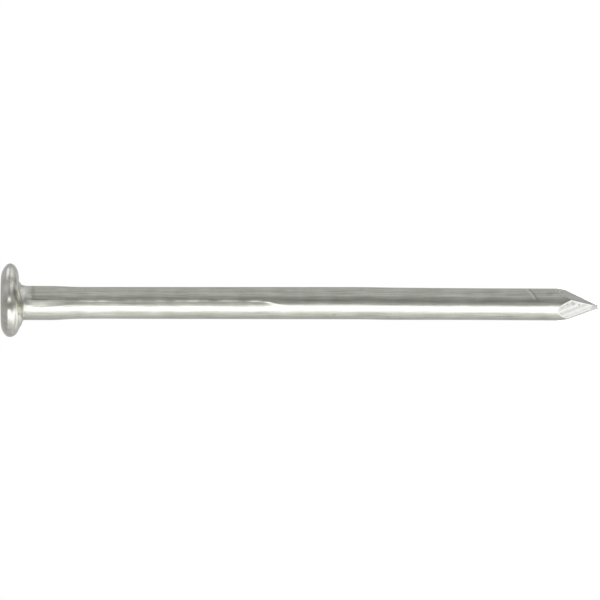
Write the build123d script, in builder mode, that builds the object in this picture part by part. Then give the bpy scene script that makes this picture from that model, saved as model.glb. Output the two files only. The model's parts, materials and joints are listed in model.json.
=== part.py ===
"""A round wire nail with a flat head and a diamond point, coated with zinc.

The nail is one length of drawn steel wire. One end is upset in the gripping dies to make the head,
the other is pinched off between cutters that leave four flat facets, and the finished nail is then
coated all over with zinc. So it holds two bodies of material: the steel nail, and the zinc coating
that closes round it.

Frame, in millimetres: the origin is where the shank's axis meets the underside of the head, which is
the face that seats on the work. +Z runs along the shank towards the head, and the four facets of the
point face +X, +Y, -X and -Y.

All sizes are the finished ones, over the zinc. The steel is the same form, set in by the coating.
"""

import os
from math import cos, radians, sin

from build123d import *

# Driving dimensions, in millimetres and degrees
overall_length = 30.0  # from the struck face of the head to the tip of the point
shank_diameter = 1.6
head_diameter = 3.72
head_thickness = 0.93
head_rim = 0.63  # width of the rounded rim outside the flat middle of the head
seat_fillet = 0.3  # radius where the neck runs into the underside of the head
seat_land = 0.05  # the least width of flat underside left between that fillet and the rim
neck_swelling = 0.055  # how far the neck stands out from the shank, where the dies gripped the wire
neck_length = 1.5
neck_taper = 1.6  # length over which the swelling runs out
point_angle = 41.4  # between opposite facets
zinc_thickness = 0.012

# Worked out from them
shank_radius = shank_diameter / 2
neck_radius = shank_radius + neck_swelling
rim_start = head_diameter / 2 - head_rim  # radius where the rounded rim begins
seat_radius = min(seat_fillet, rim_start - neck_radius - seat_land)
point_depth = overall_length - head_thickness  # how far the tip lies below the origin
facet_angle = radians(point_angle / 2)  # between a facet and the shank's axis
facet_turns = (0, 90, 180, 270)  # degrees round from +X that each facet faces


def half_section(inset):
    """Half of the head and shank cut lengthwise on the plane XZ, set in from the finished surface."""
    head_top = head_thickness - inset
    head_middle = head_thickness / 2
    uncut_end = -(point_depth + shank_diameter)  # past the tip, which the facets cut to length
    with BuildSketch(Plane.XZ) as section:
        with BuildLine():
            EllipticalCenterArc(
                (rim_start, head_middle),
                head_rim - inset,
                head_middle - inset,
                start_angle=-90,
                arc_size=180,
            )
            Polyline(
                (rim_start, head_top),
                (0, head_top),
                (0, uncut_end),
                (shank_radius - inset, uncut_end),
                (shank_radius - inset, -neck_length - neck_taper),
                (neck_radius - inset, -neck_length),
                (neck_radius - inset, inset),
                (rim_start, inset),
            )
        make_face()
        seat_corner = section.vertices().sort_by_distance((neck_radius - inset, 0, inset))[0]
        fillet(seat_corner, radius=seat_radius + inset)
    return section.sketch


def facet_plane(turn, inset):
    """The plane of the facet that faces `turn` degrees round from +X, with its normal out of the nail."""
    tip = (0, 0, -point_depth + inset / sin(facet_angle))
    across = cos(facet_angle)
    normal = (across * cos(radians(turn)), across * sin(radians(turn)), -sin(facet_angle))
    return Plane(origin=tip, z_dir=normal)


def nail_form(inset):
    """The whole nail, set in by `inset` from its finished surface."""
    with BuildPart() as form:
        revolve(half_section(inset), axis=Axis.Z)
        for turn in facet_turns:
            split(bisect_by=facet_plane(turn, inset), keep=Keep.BOTTOM)
    return form.part


with BuildPart() as steel_nail:
    add(nail_form(zinc_thickness))

with BuildPart() as zinc_coating:
    add(nail_form(0))
    add(steel_nail.part, mode=Mode.SUBTRACT)

os.makedirs("parts", exist_ok=True)

steel_nail.part.label = "steel_nail"
export_step(steel_nail.part, "parts/steel_nail.step")

zinc_coating.part.label = "zinc_coating"
export_step(zinc_coating.part, "parts/zinc_coating.step")
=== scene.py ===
"""The look of a zinc-coated round wire nail: flat head, straight shank and diamond point.

The nail is made the way it is in the header and the coating bath. The wire is gripped between two dies,
which leave a seam down the side of the shank, a punch spreads its end into the head, cutters pinch the
other end into four facets, and zinc closes round all of it. A made nail is never quite true, so the head
sits a little off the axis, its underside slopes on one side, and the point leans.

Lengths are in millimetres up to the moment a mesh is built, which turns them into metres. A turn is an
angle in degrees round the shank, counted from the front, the side that faces the camera.
"""

import json
import math
from typing import NamedTuple

import bpy
import numpy as np
from mathutils import Matrix, Vector


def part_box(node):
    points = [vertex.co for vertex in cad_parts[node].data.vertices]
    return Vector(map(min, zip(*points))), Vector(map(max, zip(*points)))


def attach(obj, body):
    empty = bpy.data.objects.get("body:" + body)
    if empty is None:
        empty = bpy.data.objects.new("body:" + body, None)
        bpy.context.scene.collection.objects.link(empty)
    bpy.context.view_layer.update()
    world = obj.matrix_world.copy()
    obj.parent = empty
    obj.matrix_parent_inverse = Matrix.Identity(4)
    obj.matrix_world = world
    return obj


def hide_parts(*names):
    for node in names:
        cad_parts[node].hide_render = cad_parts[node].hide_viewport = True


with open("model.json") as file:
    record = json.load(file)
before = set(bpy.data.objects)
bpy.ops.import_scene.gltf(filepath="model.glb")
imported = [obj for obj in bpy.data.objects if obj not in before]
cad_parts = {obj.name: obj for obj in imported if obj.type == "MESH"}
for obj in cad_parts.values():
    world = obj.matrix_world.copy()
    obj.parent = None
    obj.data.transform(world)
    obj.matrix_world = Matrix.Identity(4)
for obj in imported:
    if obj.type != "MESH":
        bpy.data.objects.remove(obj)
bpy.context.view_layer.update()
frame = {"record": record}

MM = 0.001


def mount(name):
    """One mount of the record."""
    return next(m for m in frame["record"]["mounts"] if m["name"] == name)


# ---------------------------------------------------------------------------------------------
# Sizes of the nail, in millimetres
# ---------------------------------------------------------------------------------------------

coating_low, coating_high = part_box("zinc_coating")
tip_height = coating_low.z / MM
head_top = mount("head_face")["pos_m"][2] / MM
head_radius = coating_high.x / MM
shank_radius = mount("shank")["dims"]["r_mm"]

made_head_radius = head_radius - 0.0125  # this head came out a little small
head_rim = 0.72  # width of the rounded rim outside the flat middle of the head
rim_start = made_head_radius - head_rim
head_middle = head_top / 2
underside = 0.028  # height of the underside of the head, where it is square to the shank
neck_swelling = 0.055  # how far the neck stands out from the shank
neck_radius = shank_radius + neck_swelling
neck_end = -1.5
taper_end = -3.1
zinc_thickness = 0.012

camera_azimuth = 25.0
front_bearing = camera_azimuth - 90.0  # degrees round from +X to the side that faces the camera


def bearing_vector(turn):
    """Unit vector out of the shank's axis at a turn from the front."""
    bearing = math.radians(front_bearing + turn)
    return np.array((math.cos(bearing), math.sin(bearing), 0.0))


toward_camera = bearing_vector(0.0)
upward_side = bearing_vector(90.0)  # the side that is uppermost when the nail is seen lying down

# How this nail came out of the dies
head_shift = 0.128 * upward_side  # the head sits off the shank's axis
# The facets would meet here if the last of the point had not broken off
point_apex = 0.09 * toward_camera - 0.135 * upward_side + np.array((0.0, 0.0, tip_height - 0.15))
# The point's facets: the turn that each one faces, and its angle to the axis
facets = ((-105.0, 17.0), (-26.0, 16.4), (70.0, 20.7), (158.0, 20.7))
bend_height = -17.85  # the shank is bent very slightly here, between the dies and the cutters
bend_angle = 0.22  # degrees
bend_step = 0.021  # how far it steps aside at the bend


# ---------------------------------------------------------------------------------------------
# Shape of the nail
# ---------------------------------------------------------------------------------------------


class Skin(NamedTuple):
    """A closed surface of the nail: rings of points from the middle of the face to the broken tip."""

    points: np.ndarray
    worn: np.ndarray  # from -1, darker, to 1, lighter: wear, with painted shade in hollows and creases and painted highlights on crests and bright places
    first_facet_ring: int
    end: np.ndarray  # the point that closes it inside the broken tip


def smooth_step(value, start, end):
    """0 before start, 1 after end, and a soft rise between them."""
    share = np.clip((value - start) / (end - start), 0.0, 1.0)
    return share * share * (3.0 - 2.0 * share)


def turn_gap(turns, turn):
    """Signed angle from a turn, in degrees from -180 to 180."""
    return (turns - turn + 180.0) % 360.0 - 180.0


def wander(places, step, seed):
    """A smooth random curve from -1 to 1 that changes over about one step."""
    count = 512  # after this many steps it repeats
    values = np.random.default_rng(seed).uniform(-1.0, 1.0, count)
    scaled = np.asarray(places) / step
    before = np.floor(scaled).astype(int)
    share = smooth_step(scaled - before, 0.0, 1.0)
    return values[before % count] * (1.0 - share) + values[(before + 1) % count] * share


def facet_cut(turns, turn, angle, radius):
    """Height at which one facet's plane meets a cylinder of that radius, at each turn."""
    lean = float(point_apex @ bearing_vector(turn))
    rise = math.tan(math.radians(angle))
    return point_apex[2] + (radius * np.cos(np.radians(turns - turn)) - lean) / rise


def point_edges():
    """The turns of the four edges between neighbouring facets, where they reach the shank."""
    edges = []
    tried = 20001  # turns tried between two facets
    for (turn, angle), (next_turn, next_angle) in zip(facets, facets[1:] + facets[:1]):
        span = (next_turn - turn) % 360.0
        turns = turn + np.linspace(0.0, span, tried)
        this_cut = facet_cut(turns, turn, angle, shank_radius)
        next_cut = facet_cut(turns, next_turn, next_angle, shank_radius)
        edges.append(float(turns[np.argmin(np.abs(this_cut - next_cut))]))
    return edges


def column_turns(per_facet):
    """The turns of the mesh's columns, with one column along each edge of the point."""
    edges = point_edges()
    ends = edges[1:] + [edges[0] + 360.0]
    return np.concatenate([np.linspace(a, b, per_facet, endpoint=False) for a, b in zip(edges, ends)])


def straight(start, end, count):
    """Points from start up to, but without, end."""
    share = np.arange(count)[:, None] / count
    return np.array(start) * (1.0 - share) + np.array(end) * share


def arc(centre, radii, start, end, count):
    """Points along an elliptical arc between two angles in degrees, without its last point."""
    angles = np.radians(start + (end - start) * np.arange(count) / count)
    across = centre[0] + radii[0] * np.cos(angles)
    up = centre[1] + radii[1] * np.sin(angles)
    return np.stack((across, up), axis=1)


def flare(start, end, count):
    """Points along a parabola that runs in from start and straight down at end, without its last point."""
    share = 1.0 - np.arange(count) / count
    across = end[0] + (start[0] - end[0]) * share**2
    up = end[1] + (start[1] - end[1]) * share
    return np.stack((across, up), axis=1)


def head_profiles(fine):
    """Radius and height from the middle of the face down to the neck, on the side where the head is
    square to the shank and on the side where its underside slopes."""
    rings = (12, 26, 26, 12, 14, 10)
    face, upper_rim, lower_rim, seat, corner, neck = (max(3, round(n * fine)) for n in rings)
    rim_centre = (rim_start, head_middle)
    lower_depth = head_middle - underside
    square_corner = (0.11, 0.50)  # how far the neck's fillet reaches out and down on the square side
    shared = (
        straight((0.0, head_top), (rim_start, head_top), face),
        arc(rim_centre, (head_rim, head_middle), 90.0, 0.0, upper_rim),
    )
    seat_start = neck_radius + square_corner[0]
    fillet_end = underside - square_corner[1]
    square = np.concatenate((
        *shared,
        arc(rim_centre, (head_rim, lower_depth), 0.0, -90.0, lower_rim),
        straight((rim_start, underside), (seat_start, underside), seat),
        flare((seat_start, underside), (neck_radius, fillet_end), corner),
        straight((neck_radius, fillet_end), (neck_radius, neck_end), neck),
    ))
    rim_leave = 62.0  # degrees below the middle of the rim where the slope begins
    leave_angle = math.radians(-rim_leave)
    slope_depth = head_middle + 0.035
    slope_start = (
        rim_start + head_rim * math.cos(leave_angle),
        head_middle + slope_depth * math.sin(leave_angle),
    )
    slope_corner = (0.035, 0.06)  # how far the neck's fillet reaches out and down on the sloped side
    slope_end = (neck_radius + slope_corner[0], -0.19)
    slope_fillet_end = slope_end[1] - slope_corner[1]
    sloped = np.concatenate((
        *shared,
        arc(rim_centre, (head_rim, slope_depth), 0.0, -rim_leave, lower_rim),
        straight(slope_start, slope_end, seat),
        arc((slope_end[0], slope_fillet_end), slope_corner, 90.0, 180.0, corner),
        straight((neck_radius, slope_fillet_end), (neck_radius, neck_end), neck),
    ))
    return square, sloped


def axis_shift(heights):
    """How far the nail's own middle line is off the straight axis: the head's shift and the slight bend."""
    head_share = smooth_step(heights, -0.13, 0.03)
    bend = math.tan(math.radians(bend_angle)) * np.maximum(bend_height - heights, 0.0)
    bend = bend + bend_step * smooth_step(bend_height - heights, -1.0, 1.0)
    return head_share[..., None] * head_shift - bend[..., None] * upward_side


def shank_radius_at(heights, turns):
    """The wire is drawn to size, but swells at the neck, a little more on the lower side, and is a little
    uneven elsewhere."""
    uneven = 1.0 - 0.2 * np.sin(np.radians(turns))
    neck = neck_swelling * uneven * (1.0 - smooth_step(-heights, -neck_end, -taper_end))
    drawn_unevenness = 0.012  # a hundredth of a millimetre or so
    drawn_seed = 302  # not arbitrary: found by trying many, so that it swells about where this nail does
    drawn = drawn_unevenness * wander(heights, 4.5, drawn_seed)
    return shank_radius + neck + drawn


def tip_ends(turns, raised):
    """Height at which each column ends. The tip broke off and left two short prongs with a notch between."""
    prong_width = 30.0  # degrees
    upper_prong = np.exp(-(turn_gap(turns, 85.0) / prong_width) ** 2)
    lower_prong = 0.9 * np.exp(-(turn_gap(turns, -78.0) / prong_width) ** 2)
    notch_depth = 0.10
    return tip_height + notch_depth * (1.0 - np.minimum(upper_prong + lower_prong, 1.0)) + raised


def skin_grid(fine, per_facet, raised):
    """Rings of points from the face to the broken tip, the turn of each column, the number of the first ring
    on the facets, and the point that closes the tip. raised lifts the tip's end."""
    turns = column_turns(per_facet)
    square, sloped = head_profiles(fine)
    from_slope = np.abs(turn_gap(turns, -80.0))
    slope_share = (1.0 - smooth_step(from_slope, 75.0, 130.0))[None, :, None]
    head = square[:, None] * (1.0 - slope_share) + sloped[:, None] * slope_share
    head_radii, head_heights = head[..., 0], head[..., 1]
    swelling = shank_radius_at(np.full(len(turns), neck_end), turns) - neck_radius
    head_radii = head_radii + swelling * smooth_step(-head_heights, 0.0, 0.4)
    # the edge of the face is rounder on the upward side
    upward_share = 0.5 + 0.5 * np.sin(np.radians(turns))
    rounded_edge = 0.075 * smooth_step(head_heights, 0.45, 0.88) * upward_share
    head_radii = head_radii * (1.0 - rounded_edge / made_head_radius)

    cut = np.max([facet_cut(turns, turn, angle, shank_radius) for turn, angle in facets], axis=0)
    # above this height the rings are level, and below it they bend towards the facets' shoulders
    settle = tip_height + 4.2
    level = straight(neck_end, settle, round(190 * fine))
    level = np.repeat(level.reshape(-1, 1), len(turns), axis=1)
    share = np.linspace(0.0, 1.0, round(30 * fine) + 1)[:, None]
    closing = settle + (cut - settle) * share
    shank_heights = np.concatenate((level, closing))
    shank_radii = shank_radius_at(shank_heights, turns)

    radii = np.concatenate((head_radii, shank_radii))
    heights = np.concatenate((head_heights, shank_heights))
    out = np.array([bearing_vector(turn) for turn in turns])
    points = out[None] * radii[..., None]
    points[..., 2] = heights
    points += axis_shift(heights)

    apex = point_apex + axis_shift(np.array(tip_height))
    shoulder = points[-1]
    end_share = (shoulder[:, 2] - tip_ends(turns, raised)) / (shoulder[:, 2] - apex[2])
    facet_rings = round(56 * fine)
    facet_share = (np.arange(1, facet_rings + 1) / facet_rings)[:, None, None] * end_share[None, :, None]
    facet_points = shoulder * (1.0 - facet_share) + apex * facet_share
    first_facet_ring = len(points)
    points = np.concatenate((points, facet_points))
    end = points[-1].mean(axis=0) + np.array((0.0, 0.0, 0.03))  # it is a shallow hollow
    return points, turns, first_facet_ring, end


def grid_normals(points):
    """Outward unit normals of a grid of rings, closed round each ring."""
    along = np.gradient(points, axis=0)
    around = np.roll(points, -1, axis=1) - np.roll(points, 1, axis=1)
    normals = np.cross(along, around)
    lengths = np.linalg.norm(normals, axis=2, keepdims=True)
    return normals / np.maximum(lengths, 1e-12)


# ---------------------------------------------------------------------------------------------
# Marks left by the tools
# ---------------------------------------------------------------------------------------------


def die_seam(heights, turns):
    """The two gripping dies meet a little out of line, so they leave a narrow land along the shank that
    stands up at one edge, with a beaded ridge of flash on that edge. It starts under the head and runs out,
    curving off, a little before half way down. The ridge and the land come separately."""
    seam_start, seam_end, curve_start = -0.35, -13.4, -11.9
    run_in, run_out = 0.4, 0.9  # lengths over which it comes up and goes down
    begun = smooth_step(-heights, -seam_start, run_in - seam_start)
    ended = smooth_step(-heights, -seam_end - run_out, -seam_end)
    present = begun * (1.0 - ended)
    curve = 15.0 * smooth_step(-heights, -curve_start, -seam_end) ** 1.3
    ridge_turn = 9.0 + 0.8 * wander(heights, 1.3, 11) - curve
    ridge_width = 2.2
    beads = 0.5 + 0.5 * wander(heights, 0.24, 12)
    ridge_height = 0.0040 + 0.0055 * smooth_step(-heights, 2.0, 4.5)  # it is pressed flatter beside the head
    ridge = ridge_height * beads * np.exp(-(turn_gap(turns, ridge_turn) / ridge_width) ** 2)
    usual_half = 8.0  # degrees, half the width of the land
    land_half = usual_half + 5.0 * (1.0 - smooth_step(-heights, 1.0, 3.0))  # it is wider beside the head
    land_middle = ridge_turn - 0.5 - land_half
    across = turn_gap(turns, land_middle) / land_half
    widening = land_half / usual_half
    hollow = -0.0068 * widening**2 * np.clip(1.0 - across**2, 0.0, 1.0)
    tilt = 0.0052 * widening * across * (1.0 - smooth_step(np.abs(across), 1.0, 1.9))
    land = hollow + tilt
    return present * ridge, present * land


def drawing_lines(heights, turns):
    """Fine lengthwise lines that the drawing die leaves in the wire."""
    depth = np.zeros(np.broadcast(heights, turns).shape)
    for turn, width, height, seed in (
        (29.5, 1.7, 0.0032, 21), (46.0, 2.6, -0.0012, 22), (61.0, 2.2, 0.0020, 23),
        (-70.0, 3.0, -0.0010, 24), (118.0, 2.4, 0.0024, 25), (163.0, 3.0, -0.0026, 26),
        (-102.0, 2.4, 0.0022, 27), (-141.0, 2.8, -0.0022, 28), (88.0, 3.0, -0.0018, 29),
    ):
        strength = 0.55 + 0.45 * wander(heights, 1.1, seed)
        place = turn + 1.6 * wander(heights, 5.0, seed + 40)
        depth = depth + height * strength * np.exp(-(turn_gap(turns, place) / width) ** 2)
    return depth


def add_spots(values, heights, turns, spots, radius):
    """Values with soft round spots added. A spot is its height, turn, size and what its middle adds."""
    for height, turn, size, amount in spots:
        aside = np.radians(turn_gap(turns, turn)) * radius
        distance = np.hypot(heights - height, aside) / size
        values = values + amount * np.exp(-distance**2)
    return values


def cutter_nick(heights, turns):
    """A slanting nick just above the point, where the cutters caught the wire, with the lip it raised."""
    top_turn, bottom_turn = 72.0, 16.0
    top_height = tip_height + 3.52
    slant = 0.42  # how much nearer the tip its lower end is
    share = (top_turn - turns) / (top_turn - bottom_turn)
    line_height = top_height - slant * np.clip(share, 0.0, 1.0)
    within = smooth_step(share, -0.12, 0.1) * (1.0 - smooth_step(share, 0.85, 1.15))
    distance = (heights - line_height) / 0.06
    groove = -0.012 * np.exp(-distance**2)
    lip = 0.009 * np.exp(-((distance - 1.9) ** 2))
    return within * (groove + lip)


# Spots as add_spots takes them. Dents and bumps are in millimetres, and the spots of painted light and
# painted shade are on the same scale as the skin's wear and painted light
SHANK_DENTS = (
    (-15.8, -48.0, 0.10, -0.006), (-18.5, -62.0, 0.09, -0.006), (-0.50, 16.0, 0.12, 0.022),
    (-1.18, -15.0, 0.10, -0.006), (-22.4, 150.0, 0.14, -0.008), (-9.3, -150.0, 0.16, -0.007),
    (-17.2, 60.0, 0.12, -0.004), (-26.6, 42.0, 0.16, -0.005),
)
SHANK_PAINTED_LIGHT = (
    (-4.0, -66.0, 0.9, 0.7), (-0.29, -15.0, 0.13, -1.0), (-0.36, 15.0, 0.14, 0.9), (-0.26, 62.0, 0.12, 0.6),
)
HEAD_DENTS = (
    (0.48, -4.0, 0.28, -0.064), (0.40, 100.0, 0.20, -0.010), (0.50, 165.0, 0.16, -0.012),
    (0.30, -120.0, 0.22, -0.012), (0.45, -160.0, 0.15, 0.008),
)
# painted highlights and painted shade on the head's rim and underside, as add_spots takes them
HEAD_PAINTED_LIGHT = (
    (0.46, 54.0, 0.32, 1.3), (0.50, 20.0, 0.24, 1.5), (0.47, 4.0, 0.14, 1.6), (0.20, 14.0, 0.18, -1.8),
    (0.30, 36.0, 0.17, -1.8), (0.30, -24.0, 0.26, 1.2), (0.02, 22.0, 0.14, 1.6),
)


def band(heights, middle, width):
    """1 at one height, fading to 0 above and below it."""
    return np.exp(-(((heights - middle) / width) ** 2))


def shank_marks(heights, turns):
    """What stands out from, or is sunk into, the neck and shank, and how light or dark each place is made:
    its wear, with painted highlights and painted shade.
    """
    ridge, land = die_seam(heights, turns)
    lines = drawing_lines(heights, turns)
    marks = ridge + cutter_nick(heights, turns)
    marks = add_spots(marks, heights, turns, SHANK_DENTS, shank_radius)
    # painted shade darkens the corner under the head and a painted highlight brightens the neck's fillet; a
    # faint stain runs round below it
    painted_corner_shade = 0.9 * band(heights, -0.20, 0.05) * (turns < 10.0)
    stain = 0.8 * band(heights, -0.70, 0.09) * smooth_step(turns, 5.0, 20.0)
    painted_neck_highlight = 1.1 * band(heights, -0.24, 0.22) * smooth_step(turns, -2.0, 22.0)
    # spots of painted light and painted shade: lighter on the lower side of the shank and round the neck,
    # darker at the front just under the head
    painted_light = add_spots(np.zeros(marks.shape), heights, turns, SHANK_PAINTED_LIGHT, shank_radius)
    # crests are made lighter and hollows darker: partly wear, partly a painted highlight on the crests and
    # painted shade in the hollows
    full_tone_mark, full_tone_line = 0.009, 0.0028  # millimetres out of the surface
    worn = np.clip(marks / full_tone_mark + lines / full_tone_line, -1.0, 1.0)
    return marks + lines + land, worn - painted_corner_shade - stain + painted_neck_highlight + painted_light


def head_marks(heights, turns):
    """The ridge where the punch met the dies and the dents that the head took, and how light or dark the head
    is made: darker in the dents, with painted highlights and painted shade on the rim.
    """
    meeting = 0.60 + 0.012 * wander(turns, 25.0, 31)
    ridge_share = 0.45 + 0.55 * smooth_step(-np.abs(turn_gap(turns, -40.0)), -75.0, -25.0)
    ridge_height, ridge_width = 0.016, 0.06
    ridge = ridge_height * ridge_share * np.exp(-np.abs(heights - meeting) / ridge_width)
    none = np.zeros(np.broadcast(heights, turns).shape)
    dents = add_spots(none, heights, turns, HEAD_DENTS, made_head_radius)
    # the dents are painted darker, painted shade in them, and the one bump a little lighter
    full_tone_dent = 0.03
    worn = np.clip(dents / full_tone_dent, -1.0, 0.5)
    return ridge + dents, add_spots(worn, heights, turns, HEAD_PAINTED_LIGHT, made_head_radius)


# Pits in the facets: the number of the facet, how far along from its shoulder to the tip and how far across
# the pit is, both from 0 to 1, and its size in millimetres
PITS = ((1, 0.15, 0.92, 0.045), (1, 0.24, 0.91, 0.035), (1, 0.27, 0.84, 0.035), (1, 0.43, 0.87, 0.045),
        (1, 0.12, 0.83, 0.03), (3, 0.35, 0.30, 0.04), (0, 0.50, 0.60, 0.04))


def facet_marks(points, turns, first_facet_ring, end):
    """The cutters score each facet with lines along one of its edges and draw out a thin burr on that edge,
    drawn as a darker strip, and leave faint arcs at its shoulder. The shoulder and the far edge are painted
    bright, a painted highlight for the glint of their rounded edges, and the pits are painted dark, painted
    shade in them."""
    marks = np.zeros(points.shape[:2])
    worn = np.zeros(points.shape[:2])
    ring = points[first_facet_ring - 1]
    facet_points = points[first_facet_ring:]
    per_facet = len(turns) // len(facets)
    along_share = ((np.arange(len(facet_points)) + 1.0) / len(facet_points))[:, None]
    facet_length = 2.1
    pit_depth = 0.007
    for number in range(len(facets)):
        # columns run from the edge after the first facet, so the facet after edge n is facet n + 1
        first = ((number - 1) % len(facets)) * per_facet
        columns = np.arange(first, first + per_facet)
        across_share = ((columns - first) / per_facet)[None]
        edge_start = ring[first]
        along = (end - edge_start) / np.linalg.norm(end - edge_start)
        distance = np.linalg.norm(np.cross(facet_points[:, columns] - edge_start, along), axis=2)
        scores = 0.65 * wander(distance, 0.062, 51 + number) + 0.35 * wander(distance, 0.03, 61 + number)
        arcs = wander(along_share * facet_length, 0.075, 71 + number)
        arcs = arcs * (1.0 - smooth_step(along_share, 0.15, 0.4))
        arcs = arcs * (0.3 if number == 1 else 1.0)  # they hardly show on the facet nearest the front
        inside = smooth_step(across_share, 0.0, 0.08) * (1.0 - smooth_step(across_share, 0.92, 1.0))
        height = 0.004 * scores * inside + 0.0045 * arcs * inside
        wear_and_painted_shading = 0.60 * scores + 0.7 * arcs
        # the shoulder and the far edge are painted bright: a painted highlight for the glint of their rounded
        # edges
        painted_light = 0.8 * (1.0 - smooth_step(along_share, 0.0, 0.06)) + smooth_step(across_share, 0.90, 1.0)
        painted_light = np.clip(painted_light, 0.0, 1.0)
        wear_and_painted_shading = wear_and_painted_shading * (1.0 - painted_light) + painted_light
        burr = 1.0 - smooth_step(distance, 0.05, 0.10)
        painted_tip_share = smooth_step(along_share, 0.80, 0.90)
        painted_tip_tone = -0.8 if number == 1 else 1.0  # painted shade on the lit facet nearest the front and painted light on the others make the broken tip nearly the same grey all round
        wear_and_painted_shading = wear_and_painted_shading * (1.0 - burr) - burr
        wear_and_painted_shading = wear_and_painted_shading * (1.0 - painted_tip_share) + painted_tip_tone * painted_tip_share
        for facet, pit_along, pit_across, size in PITS:
            if facet == number:
                pit_ring = int(pit_along * len(facet_points))
                pit_column = first + int(pit_across * per_facet)
                from_pit = facet_points[:, columns] - facet_points[pit_ring, pit_column]
                pit = np.exp(-(np.linalg.norm(from_pit, axis=2) / size) ** 2)
                height = height - pit_depth * pit
                # the pits are painted dark, painted shade in them
                wear_and_painted_shading = wear_and_painted_shading * (1.0 - pit) - 3.0 * pit
        marks[first_facet_ring:, columns] = height
        worn[first_facet_ring:, columns] = wear_and_painted_shading
    marks[-3:] = 0.0  # the broken tip keeps its shape
    return marks, worn


def made_skin(fine, per_facet, raised=0.0):
    """The skin with the marks of the tools in it."""
    points, turns, first_facet_ring, end = skin_grid(fine, per_facet, raised)
    heights = points[..., 2]
    normals = grid_normals(points)
    relative_turns = turn_gap(turns, 0.0)[None]
    past_face = np.linalg.norm(points[..., :2], axis=2) - rim_start
    fade_width = 0.2  # width of the rim over which its marks come up
    on_rim = smooth_step(heights, 0.0, 0.12) * np.clip(past_face, 0.0, fade_width) / fade_width
    on_shank = 1.0 - smooth_step(heights, -0.30, -0.12)
    fade = np.ones(len(points))
    fade[first_facet_ring:] = 0.0
    fade[first_facet_ring - 4:first_facet_ring] = (0.75, 0.5, 0.25, 0.0)
    on_rim, on_shank = on_rim * fade[:, None], on_shank * fade[:, None]
    head_depth, head_worn = head_marks(heights, relative_turns)
    shank_depth, shank_worn = shank_marks(heights, relative_turns)
    facet_depth, facet_worn = facet_marks(points, turns, first_facet_ring, end)
    marks = on_rim * head_depth + on_shank * shank_depth + facet_depth
    worn = on_rim * head_worn + on_shank * shank_worn + facet_worn
    return Skin(points + normals * marks[..., None], worn, first_facet_ring, end)


def inner_skin(fine, per_facet):
    """The face between the steel and the zinc: the skin set in by the thickness of the coating."""
    tip_raised = 0.12  # so that the steel ends well inside the zinc's broken tip
    skin = made_skin(fine, per_facet, raised=tip_raised)
    points = skin.points - grid_normals(skin.points) * zinc_thickness
    points[0] = points[0].mean(axis=0)
    points[0, :, 2] = head_top - zinc_thickness
    return skin._replace(points=points, end=skin.end + np.array((0.0, 0.0, 2.0 * zinc_thickness)))


# ---------------------------------------------------------------------------------------------
# Meshes
# ---------------------------------------------------------------------------------------------

DRAWN, UPSET, CUT = 0, 1, 2  # the order of the zinc finishes on the coating
head_finish_end = -0.3  # the height where the head's finish gives way to the drawn wire's


def grid_faces(skin, start, flip):
    """Vertices, their wear and painted light, faces, finish numbers and crisp edges of a closed skin. Its
    first ring is one point."""
    rings, columns = skin.points.shape[:2]
    vertices = [skin.points[0, 0]] + list(skin.points[1:].reshape(-1, 3)) + [skin.end]
    # the hollow in the broken tip is painted darkest, painted shade in it
    worn = [0.0] + list(skin.worn[1:].reshape(-1)) + [-1.0]
    faces, finishes, crisp = [], [], []

    def corner(ring, column):
        return start + 1 + (ring - 1) * columns + column % columns

    shoulder = skin.first_facet_ring - 1

    for column in range(columns):
        faces.append((start, corner(1, column + 1), corner(1, column)))
        finishes.append(UPSET)
    for ring in range(1, rings - 1):
        for column in range(columns):
            faces.append((corner(ring, column), corner(ring, column + 1),
                          corner(ring + 1, column + 1), corner(ring + 1, column)))
            on_head = skin.points[ring, column, 2] > head_finish_end
            finishes.append(CUT if ring >= shoulder else UPSET if on_head else DRAWN)
    last = start + len(vertices) - 1
    for column in range(columns):
        faces.append((corner(rings - 1, column), corner(rings - 1, column + 1), last))
        finishes.append(CUT)
        crisp.append((corner(rings - 1, column), corner(rings - 1, column + 1)))
        crisp.append((corner(shoulder, column), corner(shoulder, column + 1)))
    for column in range(0, columns, columns // len(facets)):
        edge = [corner(ring, column) for ring in range(shoulder, rings)]
        crisp += zip(edge, edge[1:])
    if not flip:
        faces = [face[::-1] for face in faces]
    return vertices, worn, faces, finishes, crisp


def make_piece(name, skins, materials):
    """A piece from one or more closed skins, each with whether it faces inwards."""
    vertices, worn, faces, finishes, crisp = [], [], [], [], []
    for skin, flip in skins:
        parts = grid_faces(skin, len(vertices), flip)
        for whole, part in zip((vertices, worn, faces, finishes, crisp), parts):
            whole.extend(part)
    mesh = bpy.data.meshes.new(name)
    mesh.from_pydata([tuple(v * MM) for v in vertices], [], faces)
    for material in materials:
        mesh.materials.append(material)
    if len(materials) > 1:
        mesh.polygons.foreach_set("material_index", finishes)
    mesh.polygons.foreach_set("use_smooth", [True] * len(faces))
    crisp_edges = {tuple(sorted(edge)) for edge in crisp}
    sharp = mesh.attributes.new("sharp_edge", "BOOLEAN", "EDGE")
    sharp.data.foreach_set("value", [tuple(sorted(edge.vertices)) in crisp_edges for edge in mesh.edges])
    mesh.attributes.new("worn", "FLOAT", "POINT").data.foreach_set("value", worn)
    mesh.update()
    piece = bpy.data.objects.new(name, mesh)
    bpy.context.collection.objects.link(piece)
    return piece


# ---------------------------------------------------------------------------------------------
# Materials
# ---------------------------------------------------------------------------------------------


def linear(hex_colour):
    """A colour written as sRGB hex, as linear RGBA."""
    channels = [int(hex_colour[i:i + 2], 16) / 255.0 for i in (1, 3, 5)]
    return (*(c / 12.92 if c <= 0.04045 else ((c + 0.055) / 1.055) ** 2.4 for c in channels), 1.0)


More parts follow.
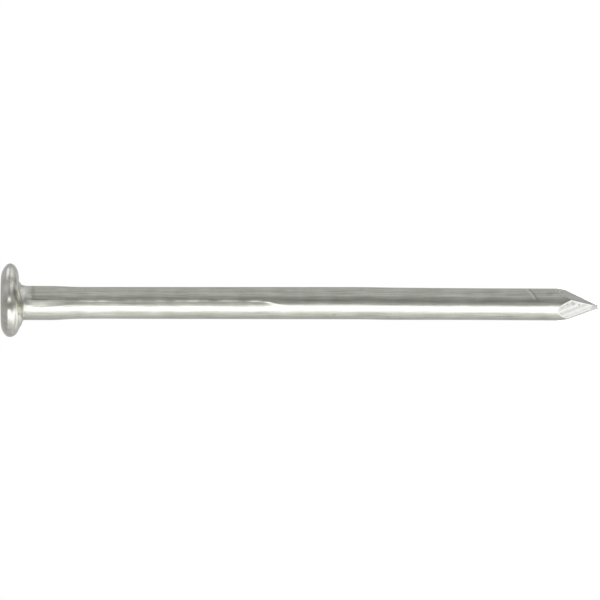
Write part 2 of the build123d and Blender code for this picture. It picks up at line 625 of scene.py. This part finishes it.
def add_node(tree, kind, links=(), **settings):
    """Adds a node. A setting names an input socket or a property, and a link joins an output to an input."""
    node = tree.nodes.new(kind)
    for name, value in settings.items():
        if hasattr(node, name):
            setattr(node, name, value)
        else:
            node.inputs[name.replace("_", " ")].default_value = value
    for output, socket in links:
        tree.links.new(output, node.inputs[socket])
    return node


def plated_metal(name, roughness, tones, grain, grain_size, bump_depth, wear_and_painted_shading, patchiness=1.0):
    """A thin bright metal layer that takes up the surface below it, so it looks as that surface was made.
    tones are its dullest and brightest colours. grain is how many times longer than wide its marks are along
    X, Y and Z, the wear setting is how much the wear and painted light of each point moves the colour,
    lighter on crests and painted highlights and darker in hollows and painted shade, and patchiness is how
    strongly the tones vary."""
    material = bpy.data.materials.new(name)
    material.use_nodes = True
    tree = material.node_tree
    tree.nodes.clear()
    place = add_node(tree, "ShaderNodeTexCoord")
    size = grain_size * MM
    stretch = add_node(tree, "ShaderNodeMapping", [(place.outputs["Object"], "Vector")],
                       Scale=tuple(1.0 / (size * g) for g in grain))
    marks = add_node(tree, "ShaderNodeTexNoise", [(stretch.outputs[0], "Vector")],
                     Scale=1.0, Detail=4.0, Roughness=0.6)
    cloud_size = 0.8 * MM  # how wide the duller and brighter patches of the plating are
    clouds = add_node(tree, "ShaderNodeTexNoise", [(place.outputs["Object"], "Vector")],
                      Scale=1.0 / cloud_size, Detail=2.0)
    cloud_share = 0.45
    mixed = add_node(tree, "ShaderNodeMath", [(clouds.outputs["Fac"], 0), (marks.outputs["Fac"], 2)],
                     operation="MULTIPLY_ADD")
    mixed.inputs[1].default_value = cloud_share
    middle, spread = (1.0 + cloud_share) / 2.0, 0.36 / patchiness
    tone = add_node(tree, "ShaderNodeMapRange", [(mixed.outputs[0], "Value")], clamp=False,
                    From_Min=middle - spread, From_Max=middle + spread)
    # the wear and painted light of each point, with painted highlights and painted shade as well as wear
    worn = add_node(tree, "ShaderNodeAttribute", attribute_name="worn")
    tone_wear_and_light = add_node(tree, "ShaderNodeMath", [(worn.outputs["Fac"], 0), (tone.outputs[0], 2)],
                         operation="MULTIPLY_ADD", use_clamp=True)
    tone_wear_and_light.inputs[1].default_value = wear_and_painted_shading
    colour = add_node(tree, "ShaderNodeMix", [(tone_wear_and_light.outputs[0], "Factor")], data_type="RGBA")
    colour.inputs["A"].default_value, colour.inputs["B"].default_value = map(linear, tones)
    rough = add_node(tree, "ShaderNodeMapRange", [(clouds.outputs["Fac"], "Value")],
                     To_Min=roughness[0], To_Max=roughness[1])
    bump = add_node(tree, "ShaderNodeBump", [(marks.outputs["Fac"], "Height")], Strength=1.0,
                    Distance=bump_depth * MM)
    shader = add_node(tree, "ShaderNodeBsdfPrincipled", [
        (colour.outputs["Result"], "Base Color"), (rough.outputs[0], "Roughness"),
        (bump.outputs[0], "Normal")], Metallic=1.0)
    add_node(tree, "ShaderNodeOutputMaterial", [(shader.outputs[0], "Surface")])
    return material


def drawn_wire_zinc():
    """Zinc over cold-drawn wire: satin, with fine lines along the shank. The real lines are a hundredth of a
    millimetre wide, and are drawn wider so that they show."""
    return plated_metal("zinc_on_drawn_wire", (0.14, 0.24), ("#BABBAF", "#F3F4EB"),
                        grain=(1, 1, 18), grain_size=0.085, bump_depth=0.0022, wear_and_painted_shading=0.55)


def upset_head_zinc():
    """Zinc over metal that flowed against the punch and dies: smooth, with a slightly pebbled skin."""
    return plated_metal("zinc_on_upset_head", (0.16, 0.26), ("#B6B3A8", "#F0F0EA"),
                        grain=(1, 1, 1), grain_size=0.24, bump_depth=0.0018, wear_and_painted_shading=0.40, patchiness=0.8)


def cut_facet_zinc():
    """Zinc over metal sheared by the cutters: brighter, and scored."""
    return plated_metal("zinc_on_cut_facets", (0.20, 0.30), ("#B4B4B1", "#F2F2EE"),
                        grain=(1, 1, 3), grain_size=0.06, bump_depth=0.0012, wear_and_painted_shading=0.45, patchiness=0.5)


def drawn_steel():
    """Bare low-carbon steel under the zinc: darker and greyer, with the same lines along the wire."""
    return plated_metal("drawn_steel", (0.30, 0.42), ("#7C7B78", "#B3B2AF"),
                        grain=(1, 1, 18), grain_size=0.085, bump_depth=0.003, wear_and_painted_shading=0.3)


# ---------------------------------------------------------------------------------------------
# Studio
# ---------------------------------------------------------------------------------------------

# Brightness of the light tent by bearing, as degrees round from the camera, counted as turns are: level with
# the nail's middle, below that, and lowest of all
TENT_WALL = (
    (-180, 0.62), (-166, 0.58), (-152, 0.50), (-130, 0.52), (-112, 0.58), (-90, 0.76), (-68, 0.94),
    (-57, 1.50), (-45, 2.00), (-22, 1.90), (-14, 0.86), (-6, 0.51), (6, 0.38), (19, 0.265), (34, 0.32),
    (52, 0.45), (70, 0.51), (110, 0.49), (150, 0.47), (166, 0.56), (180, 0.62),
)
TENT_BELOW = (
    (-180, 0.58), (-150, 0.60), (-115, 0.70), (-92, 0.82), (-76, 1.15), (-60, 1.32), (-36, 1.20),
    (-22, 0.66), (-8, 0.46), (15, 0.42), (36, 0.60), (60, 0.78), (86, 0.86), (106, 0.86), (122, 0.68),
    (138, 0.52), (158, 0.54), (180, 0.58),
)
TENT_LOWEST = (
    (-180, 0.90), (-166, 1.40), (-150, 1.30), (-138, 0.86), (-122, 0.76), (-108, 1.16), (-90, 1.42),
    (-60, 1.36), (-42, 1.05), (-26, 0.60), (0, 0.46), (36, 0.60), (60, 0.80), (90, 0.92), (120, 0.80),
    (146, 0.46), (164, 0.46), (180, 0.90),
)
TENT_ROOF = 0.47


def wall_of_light(tree, share, levels, brightest):
    """Brightness round the tent at one height, from levels by bearing, as a colour."""
    wall = add_node(tree, "ShaderNodeValToRGB", [(share, "Fac")])
    ramp = wall.color_ramp
    while len(ramp.elements) < len(levels):
        ramp.elements.new(1.0)
    for element, (bearing, level) in zip(ramp.elements, levels):
        element.position = (bearing + 180.0) / 360.0
        element.color = (level / brightest,) * 3 + (1.0,)
    return wall.outputs[0]


def light_tent():
    """A tent of grey cloth round the nail, with a bright panel on one side of the camera, a darker gap beside
    it, another gap nearly straight below and a small light high on the other side. What the camera sees past
    the floor is plain white."""
    world = bpy.data.worlds.new("light_tent")
    world.use_nodes = True
    tree = world.node_tree
    tree.nodes.clear()
    direction = add_node(tree, "ShaderNodeTexCoord").outputs["Generated"]

    def along(vector):
        dot = add_node(tree, "ShaderNodeVectorMath", [(direction, 0)], operation="DOT_PRODUCT")
        dot.inputs[1].default_value = tuple(vector)
        return dot.outputs["Value"]

    def mix(factor, first, second):
        return add_node(tree, "ShaderNodeMix", [(factor, "Factor"), (first, "A"), (second, "B")],
                        data_type="RGBA").outputs["Result"]

    def fade(value, start, end):
        step = add_node(tree, "ShaderNodeMapRange", [(value, "Value")], interpolation_type="SMOOTHSTEP",
                        From_Min=start, From_Max=end)
        return step.outputs[0]

    def disc(aim, outer, inner):
        # 1 within the inner angle of that aim, fading to 0 at the outer angle, in degrees
        return fade(along(aim), math.cos(math.radians(outer)), math.cos(math.radians(inner)))

    def plain(level):
        grey = add_node(tree, "ShaderNodeRGB")
        grey.outputs[0].default_value = (level / brightest,) * 3 + (1.0,)
        return grey.outputs[0]

    brightest = max(level for _, level in TENT_WALL)
    bearing = add_node(tree, "ShaderNodeMath", [(along(upward_side), 0), (along(toward_camera), 1)],
                       operation="ARCTAN2")
    share = add_node(tree, "ShaderNodeMapRange", [(bearing.outputs[0], "Value")],
                     From_Min=-math.pi, From_Max=math.pi)
    wall = wall_of_light(tree, share.outputs[0], TENT_WALL, brightest)
    below = wall_of_light(tree, share.outputs[0], TENT_BELOW, brightest)
    lowest = wall_of_light(tree, share.outputs[0], TENT_LOWEST, brightest)
    height = along((0.0, 0.0, 1.0))
    depth = along((0.0, 0.0, -1.0))
    cloth = mix(fade(depth, 0.08, 0.40), wall, below)
    cloth = mix(fade(depth, 0.46, 0.74), cloth, lowest)
    gap_lean = math.radians(12.0)
    gap_aim = math.sin(gap_lean) * upward_side - np.array((0.0, 0.0, math.cos(gap_lean)))
    gap_level = 0.34
    cloth = mix(disc(gap_aim, 24.0, 15.0), cloth, plain(gap_level))
    cloth = mix(fade(height, 0.25, 0.50), cloth, plain(TENT_ROOF))
    light_bearing, light_height = math.radians(108.0), math.radians(28.0)
    light_aim = math.cos(light_height) * (
        math.cos(light_bearing) * toward_camera + math.sin(light_bearing) * upward_side)
    light_aim[2] = math.sin(light_height)
    light_level = 0.95
    cloth = mix(disc(light_aim, 27.0, 12.0), cloth, plain(light_level))

    tent = add_node(tree, "ShaderNodeBackground", [(cloth, "Color")], Strength=brightest)
    backdrop = add_node(tree, "ShaderNodeBackground", Color=(1.0, 1.0, 1.0, 1.0), Strength=1.0)
    ray = add_node(tree, "ShaderNodeLightPath")
    seen = add_node(tree, "ShaderNodeMixShader", [(ray.outputs["Is Camera Ray"], "Fac"),
                                                  (tent.outputs[0], 1), (backdrop.outputs[0], 2)])
    add_node(tree, "ShaderNodeOutputWorld", [(seen.outputs[0], "Surface")])
    bpy.context.scene.world = world


def pale_floor():
    """A round white floor just under the point."""
    radius = 120.0
    corner_step = 3  # degrees
    material = bpy.data.materials.new("matt_white_card")
    material.use_nodes = True
    shader = material.node_tree.nodes["Principled BSDF"]
    shader.inputs["Base Color"].default_value = linear("#F4F4F2")
    shader.inputs["Roughness"].default_value = 0.9
    corners = [math.radians(angle) for angle in range(0, 360, corner_step)]
    edge = [(radius * MM * math.cos(a), radius * MM * math.sin(a), tip_height * MM) for a in corners]
    mesh = bpy.data.meshes.new("floor")
    mesh.from_pydata(edge, [], [tuple(range(len(edge)))])
    mesh.materials.append(material)
    floor = bpy.data.objects.new("floor", mesh)
    floor.visible_glossy = False
    bpy.context.collection.objects.link(floor)


def overhead_lamp():
    """A wide soft lamp above, which lights the floor."""
    lamp = bpy.data.lights.new("overhead_softbox", "AREA")
    lamp.shape = "DISK"
    lamp.size = 260.0 * MM
    lamp.energy = 1.3
    holder = bpy.data.objects.new("overhead_softbox", lamp)
    holder.location = (0.0, 0.0, 220.0 * MM)
    holder.visible_glossy = False
    holder.visible_camera = False
    bpy.context.collection.objects.link(holder)


def place_camera():
    """A long lens, level with the middle of the nail and rolled so that the nail lies across the picture."""
    view_width = 30.105  # millimetres across the picture at the nail
    lens, sensor = 900.0, 36.0
    distance = view_width / 2.0 / (sensor / 2.0 / lens)
    middle_height = -14.083
    above = 0.1143  # how far the picture's middle is above the nail's middle line
    roll = math.radians(0.07)
    data = bpy.data.cameras.new("camera")
    data.lens, data.sensor_width = lens, sensor
    data.clip_start, data.clip_end = distance * MM * 0.1, distance * MM * 10.0
    camera = bpy.data.objects.new("camera", data)
    right = Vector((0.0, 0.0, -1.0))
    up = Vector(upward_side)
    tilted_right = right * math.cos(roll) + up * math.sin(roll)
    tilted_up = up * math.cos(roll) - right * math.sin(roll)
    back = Vector(toward_camera)
    place = (back * distance + up * above + Vector((0.0, 0.0, middle_height))) * MM
    turned = Matrix((tilted_right, tilted_up, back)).transposed().to_4x4()
    camera.matrix_world = Matrix.Translation(place) @ turned
    bpy.context.collection.objects.link(camera)
    bpy.context.scene.camera = camera


# ---------------------------------------------------------------------------------------------
# The scene
# ---------------------------------------------------------------------------------------------

place_camera()
light_tent()
pale_floor()
overhead_lamp()
bpy.context.scene.view_settings.view_transform = "Standard"

outer = made_skin(fine=1.0, per_facet=48)
inner = inner_skin(fine=0.5, per_facet=24)

zinc = make_piece("zinc_skin", [(outer, False), (inner, True)],
                  [drawn_wire_zinc(), upset_head_zinc(), cut_facet_zinc()])
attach(zinc, "root")
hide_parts("zinc_coating")

steel = make_piece("steel_core", [(inner, False)], [drawn_steel()])
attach(steel, "root")
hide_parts("steel_nail")
